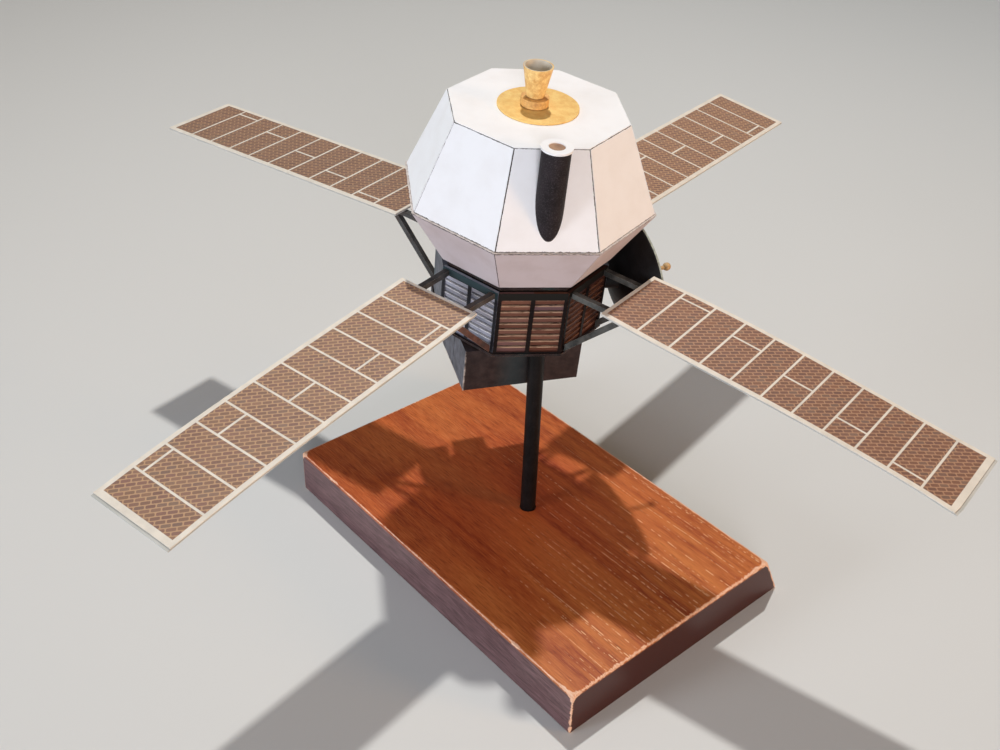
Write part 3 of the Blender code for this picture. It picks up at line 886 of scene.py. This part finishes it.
def measured_bay(node, place):
    """Where the face, the blades' top edges and the windows are, in millimetres."""
    spots = spots_in(place, node)
    face = min(spot.y for spot in spots)
    edges = [spot for spot in spots if BLADE_SINK[0] < spot.y - face < BLADE_SINK[1]]
    tops = sorted({round(spot.z, 1) for spot in edges})
    return face, tops, max(abs(spot.x) for spot in edges)


print("blades in a column", len(measured_bay("bay_front", bay_frame(BAY_SIDES["front"]))[1]))

# %% [markdown]
# ## Printed blades
# Each blade draws its own tone from its row and column, is darker at its foot as
# painted shade, and has a pale broken line along its top: the cut edge of the card,
# partly a painted highlight. Deep in the slots the card is painted near black, as
# painted shade. The frame has a strip of its own above the blades, and its two outer
# folds are rubbed.


# %% Printed blades
def louvre_card(name, node, side, frame_tone, header, low, high, other, edge, seed):
    """The finish of one louvred bay."""
    mat, tree, shader = finish(name, 0.52)
    place = bay_frame(side)
    face, tops, outer = measured_bay(node, place)
    pitch = (tops[-1] - tops[0]) / (len(tops) - 1)
    spot = in_frame(tree, place)
    x, y, z = split(spot)
    fibres = grain(spot, 0.3, 4.0, 0.7)
    smear = grain(in_frame(tree, place, (5, 1, 1)), 0.8, 4.0, 0.65)
    rows = divided(minus(tops[-1], z), pitch)
    row = whole(plus(rows, 0.02))
    share = minus(rows, row)
    column = maths("GREATER_THAN", x, 0.0)
    first, second, _ = draws({"Vector": joined(row, column, float(seed))})
    share_high = times_plus(first, 0.7, -0.45)
    blade = blend(times_plus(smear, 0.9, share_high), low, high)
    blade = blend(between(second, 0.55, 1.0, 0.0, 0.8), blade, other)
    # painted shade: each blade darker towards its foot, over the slot below it
    blade = blend(between(share, 0.55, 0.9, 0.0, 0.25), blade, [c * 0.35 for c in low])
    # the cut edge along each blade's top, partly a painted highlight
    broken = times(between(share, 0.17, 0.09), between(smear, 0.36, 0.5))
    blade = blend(broken, blade, edge)
    sunk = between(minus(y, face), 0.06, 0.16)
    # painted shade: more than a millimetre behind the face, in the slots, the card is painted near
    # black
    deep = between(minus(y, face), 0.95, 1.1)
    blade = blend(deep, blade, (0.006, 0.005, 0.005))
    frame_card = blend(between(fibres, 0.35, 0.7), [c * 0.7 for c in frame_tone], frame_tone)
    head = between(minus(z, tops[-1]), 0.0, 0.3)
    frame_card = blend(head, frame_card, header)
    side_edge = between(unsigned(x), outer + 1.0, outer + 1.15)
    rub = times(side_edge, between(smear, 0.44, 0.56))
    frame_card = blend(rub, frame_card, edge)
    coat(shader, blend(sunk, frame_card, blade), fibres, 0.25, 0.06)
    dress([node], dull(mat, LITTLE_SHINE))


print("louvred bays", len(BAY_SIDES))

# %% [markdown]
# ## Colours of the bays
# The colours of the bays on each side of the body are painted light and shade, after
# how the light falls there: grey-violet on the left, where the cool light falls, dark
# brown on the right, and brown in front. The hidden ones at the back are taken to be
# like the one in front.

# %% Colours of the bays
# columns: frame, strip above the blades, blade's low tone, its high tone, the odd
# blade, cut edge, which is partly a painted highlight
# painted light and shade: the tones differ by side because of how the light falls there
BAY_TONES_AND_PAINTED_LIGHT = {
    "front": ((26, 17, 16), (26, 25, 23), (100, 62, 50), (146, 102, 84), (122, 98, 106),
              (206, 170, 142)),
    "front_left": ((38, 38, 44), (46, 62, 66), (124, 126, 140), (190, 190, 204),
                   (146, 142, 150), (228, 226, 228)),
    "front_right": ((24, 14, 12), (24, 22, 20), (60, 32, 24), (86, 50, 38), (48, 32, 30),
                    (140, 94, 72)),
}
for number, (name, side) in enumerate(BAY_SIDES.items()):
    tones = [seen(*tone) for tone in BAY_TONES_AND_PAINTED_LIGHT.get(name, BAY_TONES_AND_PAINTED_LIGHT["front"])]
    louvre_card("bay card " + name, "bay_" + name, side, *tones, number + 1)

# %% [markdown]
# ## Platform
# The boxes under the body are brown-black card. Their left side is grey, as painted cool
# light from the left, and rubbed pale along its low edge, a patch of the front is tinged
# with teal, and the folds are worn pale in places. Its sides are measured first, so that
# a point knows how far it is from each.

# %% Platform
box_front = facing("platform_front", front)[1]
platform = frame_from(up, up.cross(box_front), facing("platform_front", -up)[0])
platform_spots = spots_in(platform, "platform_front")
BOX_LEFT = min(spot.x for spot in platform_spots)
BOX_FRONT = min(spot.y for spot in platform_spots)
TINGE_FROM_LEFT = 17.0
TINGE_HALF = 7.0
print("platform", round(max(spot.x for spot in platform_spots) - BOX_LEFT, 1), "mm wide")

# %% [markdown]
# ## Finish of the platform
# The same two steps of noise as on the body give the card its tone, and the distance
# from the left side and from the front fold decide where it is grey, as painted light, or worn.

# %% Finish of the platform
mat, tree, shader = finish("platform card", 0.5)
spot = in_frame(tree, platform)
x, y, z = split(spot)
fibres = grain(spot, 0.35, 4.0, 0.7)
cloud = grain(spot, 3.2, 4.0, 0.6)
tone = blend(between(cloud, 0.36, 0.66), seen(34, 24, 24), seen(56, 44, 42))
from_tinge = unsigned(minus(x, BOX_LEFT + TINGE_FROM_LEFT))
middle = between(from_tinge, TINGE_HALF, 1.0)
tone = blend(times(middle, 0.6), tone, seen(50, 62, 62))
# painted cool light: the left side is grey where the light from the left falls
painted_light_left_side = between(minus(x, BOX_LEFT), 0.12, 0.02)
grey = blend(between(cloud, 0.36, 0.66), seen(58, 58, 66), seen(98, 98, 108))
tone = blend(painted_light_left_side, tone, grey)
corner = plus(unsigned(minus(x, BOX_LEFT)), unsigned(minus(y, BOX_FRONT)))
worn = times(between(corner, 0.55, 0.2), between(cloud, 0.42, 0.6))
low_edge = times(painted_light_left_side, between(unsigned(z), 0.5, 0.2))
low_edge = times(low_edge, between(cloud, 0.38, 0.5))
worn = larger(worn, low_edge)
tone = blend(worn, tone, seen(190, 176, 166))
coat(shader, tone, fibres, 0.25, 0.06)
dull(mat, 0.35)
dress([name for name in nodes if name.startswith(("platform_", "instrument_"))], mat)

# %% [markdown]
# ## Print on the panels
# Each panel carries the same print: a cream border, cream cross lines, short dividers
# that step across the panel, and between them small rounded bricks, whose rows run
# the same way on all four panels. It is drawn by sums on the place of a point, so it
# stays sharp at any size.

# %% Print on the panels
BORDER_SIDE = 1.5
BORDER_INNER = 1.0
BORDER_OUTER = 2.0
LINE_WIDTH = 0.7
FIRST_LINE = 10.7
LINE_STEP = 10.16
DIVIDER_START = 10.3
DIVIDER_STEP = 2.5625
DIVIDER_WIDTH = 0.72
SOFT_EDGE = 0.06
BRICK_LENGTH = 2.78
BRICK_HEIGHT = 1.38
BRICK_CORNER = 0.34
MORTAR = 0.32


def line_at(distance, width):
    """1 on a line of the given width, 0 beside it, with a soft edge."""
    away = unsigned(distance)
    return between(away, width / 2 + SOFT_EDGE, width / 2 - SOFT_EDGE)


print("a cross line every", LINE_STEP, "mm")

# %% [markdown]
# ## Bricks
# The bricks lie in a grid whose odd rows are moved by half a brick. A point finds its
# row and column, which also pick the brick's tone, and then how far it is from the
# middle of its brick, which rounds the corners.


# %% Bricks
def brick_pattern(u, v):
    """1 on a brick, and the brick's own three random numbers, in running bond."""
    rows = divided(v, BRICK_HEIGHT)
    row = whole(rows)
    odd = maths("MODULO", unsigned(row), 2.0)
    columns = plus(divided(u, BRICK_LENGTH), times(odd, 0.5))
    column = whole(columns)
    away = []
    for place, cell, size in ((columns, column, BRICK_LENGTH), (rows, row, BRICK_HEIGHT)):
        centred = minus(minus(place, cell), 0.5)
        reach = times(unsigned(centred), size)
        flat = size / 2 - MORTAR / 2 - BRICK_CORNER
        away.append(larger(minus(reach, flat), 0.0))
    squares = [times(side, side) for side in away]
    corner = maths("SQRT", plus(*squares))
    on_brick = between(corner, BRICK_CORNER + 0.05, BRICK_CORNER - 0.07)
    return on_brick, draws({"Vector": joined(column, row)})


def brick_field(place, slant, brick, other, mortar):
    """The colour of the bricks and of what lies between them."""
    turn = {"Vector": place, "Rotation": (0, 0, slant)}
    u, v, _ = split(step("Mapping", turn, vector_type="POINT")[0])
    on_brick, (first, second, third) = brick_pattern(u, v)
    tone = blend(first, brick, other)
    tone = blend(between(second, 0.7, 1.0, 0.0, 0.4), tone, seen(134, 118, 104))
    tone = blend(between(third, 0.0, 1.0, 0.0, 0.22), tone, (0.02, 0.02, 0.02))
    return blend(on_brick, mortar, tone)


print("a brick is", BRICK_LENGTH, "by", BRICK_HEIGHT, "mm")

# %% [markdown]
# ## Lines and border
# A divider joins two cross lines in every second band, and each next one lies a step
# further down. The front right panel's print is drawn out near the body, where the
# damp card was pulled over its frame, so its lines lie unevenly.

# %% Lines and border
LARGEST_SLIP = 4 / 27


def drawn_out(x, length, stretch):
    """Where on the print a point lies; stretch is the largest slip in millimetres."""
    share = divided(x, length)
    rest = minus(1.0, share)
    slip = times(share, times(rest, rest))
    return times_plus(slip, -stretch / LARGEST_SLIP, x)


def pale_lines(x, y, length, width):
    """1 on the border, the cross lines and the dividers."""
    band = divided(minus(x, FIRST_LINE), LINE_STEP)
    off_line = minus(band, maths("ROUND", band))
    lines = line_at(times(off_line, LINE_STEP), LINE_WIDTH)
    number = whole(band)
    height = times_plus(number, -DIVIDER_STEP, DIVIDER_START)
    divider = line_at(minus(y, height), DIVIDER_WIDTH)
    even = maths("LESS_THAN", maths("MODULO", unsigned(number), 2.0), 0.5)
    started = maths("GREATER_THAN", band, 0.0)
    divider = times(divider, times(even, started))
    side = width / 2 - BORDER_SIDE
    outer = length - BORDER_OUTER
    borders = (between(unsigned(y), side - SOFT_EDGE, side + SOFT_EDGE),
               between(x, BORDER_INNER + SOFT_EDGE, BORDER_INNER - SOFT_EDGE),
               between(x, outer - SOFT_EDGE, outer + SOFT_EDGE))
    pale = larger(lines, divider)
    for border in borders:
        pale = larger(pale, border)
    return pale


print("every second band has a divider,", DIVIDER_STEP, "mm a band further down")

# %% [markdown]
# ## Printed card
# Bricks, pale lines, a faint stain and the tooth of the card are laid over each other
# in the order in which they came onto the real sheet.


# %% Printed card
def panel_print(name, slant, brick, other, mortar, cream, length, width, stretch):
    """The finish of one printed sheet."""
    mat, tree, shader = finish(name, 0.52)
    spot = step("TexCoord", {}, tree)["Object"]
    scale = {"Vector": spot, "Scale": (1 / MM,) * 3}
    x, y, _ = split(step("Mapping", scale, vector_type="POINT")[0])
    x = drawn_out(x, length, stretch)
    place = joined(x, y)
    field = brick_field(place, slant, brick, other, mortar)
    pale = pale_lines(x, y, length, width)
    fibres = grain(place, 0.3, 4.0, 0.7)
    stain = grain(place, 7.0, 4.0, 0.6)
    cream = blend(between(stain, 0.4, 0.7), cream, [c * 0.82 for c in cream])
    tone = blend(pale, field, cream)
    tone = blend(between(fibres, 0.55, 0.8, 0.0, 0.35), tone, seen(214, 176, 140))
    put(shader.inputs["Roughness"], between(fibres, 0.3, 0.7, 0.42, 0.6))
    coat(shader, tone, fibres, 0.25, 0.05)
    return mat


print("the print needs", BORDER_INNER + BORDER_OUTER, "mm of border along the panel")

# %% [markdown]
# ## Grey backing
# A pale grey sheet backs each panel. It has yellowed in large soft patches.

# %% Grey backing
backing, tree, shader = finish("grey backing", 0.7)
spot = in_frame(tree, satellite)
fibres = grain(spot, 0.4, 4.0, 0.7)
tone = blend(between(grain(spot, 12.0, 3.0), 0.4, 0.7), seen(196, 194, 188), seen(170, 170, 164))
coat(shader, tone, fibres, 0.25, 0.06)
print(backing.name, "ready")

# %% [markdown]
# ## Panels
# A panel is two sheets of card, a little apart at their ends. The printed sheet lies
# on top, and the grey one shows past the outer end. The solid is curled, each long
# edge in its own way, so its edges are measured at each of its steps.

# %% Panels
NEAR_END = 4 * MM
SAME_STEP = 2


def panel_place(node):
    """The frame of a panel, from the middle of its inner edge, and its two long top edges."""
    spots = {tuple(round(part, 6) for part in corner.co) for corner in nodes[node].data.vertices}
    spots = [Vector(spot) for spot in spots]
    middle = sum(spots, Vector()) / len(spots)
    outward = (middle - satellite.translation).normalized()
    left = up.cross(outward)
    nearest = min(spot.dot(outward) for spot in spots)
    farthest = max(spot.dot(outward) for spot in spots)
    ends = []
    for reach in (nearest, farthest):
        there = [spot for spot in spots if abs(spot.dot(outward) - reach) < NEAR_END]
        ends.append([max((spot for spot in there if (spot - middle).dot(left) * side > 0),
                         key=lambda spot: spot.dot(up)) for side in (1, -1)])
    inner, outer = (sum(pair, Vector()) / 2 for pair in ends)
    along = (outer - inner).normalized()
    place = frame_from(along.cross(ends[0][0] - ends[0][1]), along, inner)
    rails = {}
    for side in (1, -1):
        rail = []
        edge = sorted((place.inverted() @ spot / MM for spot in spots), key=lambda spot: spot.x)
        for spot in edge:
            if spot.y * side < 0:
                continue
            if rail and spot.x - rail[-1].x < SAME_STEP:
                rail[-1] = max(rail[-1], spot, key=lambda one: one.z)
            else:
                rail.append(spot)
        rails[side] = rail
    return place, rails


print("a long edge is measured at", len(panel_place("panel_front_left")[1][1]), "steps")

# %% [markdown]
# ## Curled card
# Card bends in a smooth curve, so the height of an edge follows a curve through its
# measured points, with the slope at each taken from the two next to it. The sheet
# runs across from one edge to the other.

# %% Curled card
STEPS_ALONG = 72
STEPS_ACROSS = 8
CORNER_REACH = 4.0
WAVE_HEIGHT = 0.05
WAVES_ALONG, WAVES_ACROSS = 0.06, 0.1


def smooth_height(rail, x):
    """The height of a measured edge at x, on a smooth curve through its points."""
    last = len(rail) - 2
    i = min(max(next((n for n, spot in enumerate(rail) if spot.x > x), last + 1) - 1, 0), last)
    low, high = rail[i], rail[i + 1]
    share = (x - low.x) / (high.x - low.x)
    before = rail[max(i - 1, 0)].z
    after = rail[min(i + 2, last + 1)].z
    rise, fall = (high.z - before) / 2, (after - low.z) / 2
    square, cube = share ** 2, share ** 3
    return (low.z * (2 * cube - 3 * square + 1) + high.z * (3 * square - 2 * cube)
            + rise * (cube - 2 * square + share) + fall * (cube - square))


def sheet_of_card(rails, length, width, top, bottom, corner=0.0):
    """A thin sheet that follows the curled edges; corner rounds off one outer corner."""
    shape = bmesh.new()
    rows = []
    for level in (top, bottom):
        grid = []
        for i in range(STEPS_ALONG + 1):
            x = length * i / STEPS_ALONG
            near, far = smooth_height(rails[-1], x), smooth_height(rails[1], x)
            line = []
            for j in range(STEPS_ACROSS + 1):
                share = j / STEPS_ACROSS
                y = width * (share - 0.5)
                from_corner = max(0.0, 1 - (width / 2 + y) / CORNER_REACH)
                cut = corner * from_corner ** 2 if i == STEPS_ALONG else 0.0
                wave = noise.noise(Vector((x * WAVES_ALONG, y * WAVES_ACROSS, length)))
                height = near + (far - near) * share + level + WAVE_HEIGHT * wave
                line.append(shape.verts.new(Vector((x - cut, y, height)) * MM))
            grid.append(line)
        rows.append(grid)
    for level in rows:
        for first, second in zip(level, level[1:]):
            for j in range(STEPS_ACROSS):
                shape.faces.new((first[j], first[j + 1], second[j + 1], second[j]))
    bmesh.ops.bridge_loops(shape, edges=[edge for edge in shape.edges if edge.is_boundary])
    return shape


print("a sheet has", 2 * STEPS_ALONG * STEPS_ACROSS, "faces on its two sides")

# %% [markdown]
# ## The four panels
# Each panel has stood in its own light, so its colours differ. The printed sheet takes
# the place of the solid and the backing lies under it. Only the front panels' sheets
# have slid apart. The bricks are turned back by the panel's own direction.

# %% The four panels
SHEET = 0.34
SHEET_GAP = 0.1
PEEK = 0.8
CREAM = seen(229, 220, 206)

# columns: brick, other brick, mortar
PANEL_TONES = {
    "front_left": ((148, 113, 90), (137, 101, 88), (182, 145, 111)),
    "front_right": ((136, 94, 72), (124, 88, 75), (172, 131, 102)),
    "rear_left": ((134, 100, 80), (122, 90, 78), (172, 134, 104)),
    "rear_right": ((146, 108, 86), (133, 98, 85), (182, 144, 112)),
}
# columns: how far the sheets reach past the solid, the rounding of the outer corner,
# the stretch of the print, how far the backing peeks out, all in millimetres
PANEL_SHEETS = {
    "front_left": (1.0, 0.0, 0.0, PEEK),
    "front_right": (0.0, 0.35, 2.8, PEEK),
    "rear_left": (0.0, 0.0, 0.0, 0.0),
    "rear_right": (0.0, 0.0, 0.0, 0.0),
}
for side, tones in PANEL_TONES.items():
    node = "panel_" + side
    past_solid, corner, stretch, peek = PANEL_SHEETS[side]
    place, rails = panel_place(node)
    length, width = rails[1][-1].x + past_solid, rails[1][0].y - rails[-1][0].y
    direction = math.atan2(place.col[0][1], place.col[0][0])
    print_mat = panel_print("print " + side, direction, *(seen(*tone) for tone in tones), CREAM,
                            length - peek, width, stretch)
    printed = sheet_of_card(rails, length - peek, width, 0.0, -SHEET, corner)
    add_piece("printed_" + side, printed, print_mat, place, "panel_card", [node])
    grey = sheet_of_card(rails, length, width, -SHEET - SHEET_GAP, -2 * SHEET - SHEET_GAP, corner)
    add_piece("backing_" + side, grey, backing, place, "panel_card")
    print("panel", side, round(length, 1), "by", round(width, 1), "mm, edges rise",
          round(max(spot.z for spot in rails[1]), 2), round(max(spot.z for spot in rails[-1]), 2))

# %% [markdown]
# ## Inside of the tube
# The white ring on the tube shows the brown inside of the roll. A thin disc closes the
# ring just above its lower face.

# %% Inside of the tube
DISC_GAP = 0.1
DISC_THICK = 0.3
DISC_LIFT = 0.2

cap_spots = in_satellite("antenna_cap")
cap_middle = sum(cap_spots, Vector()) / len(cap_spots)
hole = min((spot.xy - cap_middle.xy).length for spot in cap_spots)
disc = bmesh.new()
disc_radius = (hole - DISC_GAP) * MM
bmesh.ops.create_cone(disc, cap_ends=True, segments=40, radius1=disc_radius,
                      radius2=disc_radius, depth=DISC_THICK * MM)
cap_low = min(spot.z for spot in cap_spots)
disc_place = Matrix.Translation(Vector((cap_middle.x, cap_middle.y, cap_low + DISC_LIFT)) * MM)
add_piece("cap_inside", disc, card["cap hole"], satellite @ disc_place, "dome_card", smooth=40)

# %% [markdown]
# ## Where the dish looks
# The corners of the dish's rim are those farthest from its middle. Four of them give
# a rough axis, which is enough to put all of them in order around it, and the small
# triangles between neighbours then give the true one.

# %% Where the dish looks
RIM_SHARE = 0.93

dish_spots = in_satellite("dish_reflector")
dish_middle = sum(dish_spots, Vector()) / len(dish_spots)
farthest = max((spot - dish_middle).length for spot in dish_spots)
rim = [spot for spot in dish_spots if (spot - dish_middle).length > farthest * RIM_SHARE]
rim_middle = sum(rim, Vector()) / len(rim)
rim.sort(key=lambda spot: (spot - rim_middle).y)
rough_axis = (max(rim, key=lambda s: s.z) - min(rim, key=lambda s: s.z)).cross(rim[-1] - rim[0])
turned = frame_from(rough_axis, WORLD_UP, rim_middle).inverted()
rim.sort(key=lambda spot: math.atan2((turned @ spot).y, (turned @ spot).x))
from_middle = [spot - rim_middle for spot in rim]
axis = sum((from_middle[i - 2].cross(from_middle[i]) for i in range(len(rim))), Vector())
axis = axis.normalized() if axis.x > 0 else -axis.normalized()
rim_middle = rim_middle + axis * max(spot.dot(axis) for spot in from_middle)
radius = max((spot - rim_middle).length for spot in rim)
print("rim of", len(rim), "corners, radius", round(radius, 2), "mm")
print("axis", [round(part, 3) for part in axis])

# %% [markdown]
# ## Cut rim of the dish
# The black dish shows the pale core of its card along the cut. It is a thin band that
# hugs the rim, and a little noise keeps it from looking turned on a lathe.

# %% Cut rim of the dish
CUT_EDGE = 0.14
CUT_DEPTH = 0.5
CUT_OVER = 0.08
CUT_GAP = 0.03
CUT_STEPS = 96
CUT_ROUGH = 0.05

near_rim, past_rim = radius + CUT_GAP, radius + CUT_GAP + CUT_EDGE
section = ((near_rim, -CUT_DEPTH), (past_rim, -CUT_DEPTH), (past_rim, CUT_OVER), (near_rim, CUT_OVER))
band = bmesh.new()
rows = []
for reach, level in section:
    row = []
    for number in range(CUT_STEPS):
        angle = 2 * math.pi * number / CUT_STEPS
        around = Vector((math.cos(angle), math.sin(angle), 0))
        rough = CUT_ROUGH * noise.noise(around * 9 + Vector((0, 0, reach)))
        row.append(band.verts.new((around * reach + Vector((0, 0, level + rough))) * MM))
    rows.append(row)
for i, near in enumerate(rows):
    far = rows[(i + 1) % len(rows)]
    for j in range(CUT_STEPS):
        k = (j + 1) % CUT_STEPS
        band.faces.new((near[j], near[k], far[k], far[j]))
dish_frame = frame_from(axis, WORLD_UP, rim_middle * MM)
cut_card = paper("cut card", seen(170, 176, 164), seen(110, 114, 106), 1.5)
add_piece("dish_rim", band, cut_card, satellite @ dish_frame, "dish_card", smooth=40)
